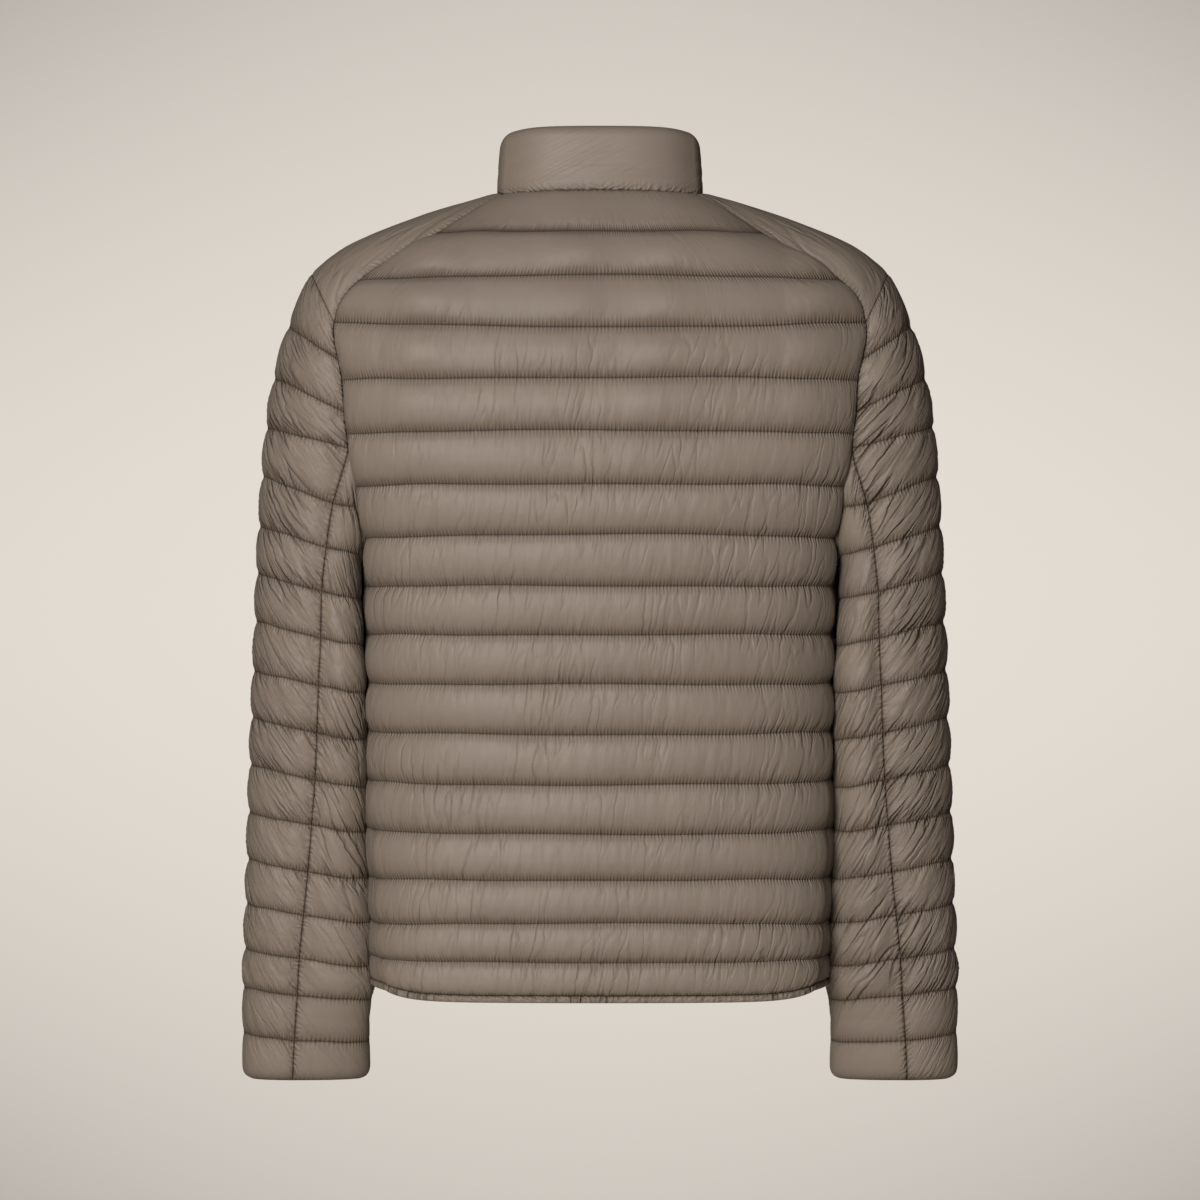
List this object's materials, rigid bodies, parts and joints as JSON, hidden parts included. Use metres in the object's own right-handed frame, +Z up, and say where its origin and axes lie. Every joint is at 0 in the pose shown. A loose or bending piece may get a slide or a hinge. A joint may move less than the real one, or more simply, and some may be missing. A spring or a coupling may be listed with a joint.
{
  "type": "puffer jacket",
  "caption": "Light quilted puffer jacket with stand collar, shoulder saddles, elastic hem and closed front zip, filled out as worn.",
  "frame": {"origin": "middle of the neck opening, level with the collar seam at the back", "axes": "+Z up along the body, +Y out of the back, +X towards the wearer's left sleeve"},
  "size_m": [0.6146, 0.2477, 0.8092],
  "materials": {
    "shell_fabric": "satin taupe nylon",
    "zip_tape": "woven tape",
    "zip_metal": "satin"
  },
  "bodies": {
    "jacket": {"back": "shell_fabric", "front_left": "shell_fabric", "front_right": "shell_fabric", "side_left": "shell_fabric", "side_right": "shell_fabric", "saddle_left": "shell_fabric", "saddle_right": "shell_fabric", "sleeve_outer_left": "shell_fabric", "sleeve_outer_right": "shell_fabric", "sleeve_under_left": "shell_fabric", "sleeve_under_right": "shell_fabric", "collar": "shell_fabric", "hem_binding": "shell_fabric", "zip_tape": "zip_tape", "zip_slider": "zip_metal"},
    "pull": {"pull_tab": "zip_metal"}
  },
  "joints": [
    {"name": "pull_hinge", "type": "hinge", "parent": "jacket", "child": "pull", "pos_m": [0, -0.0792, -0.014], "axis": [-1, 0, 0], "range_deg": [0, 160]}
  ]
}
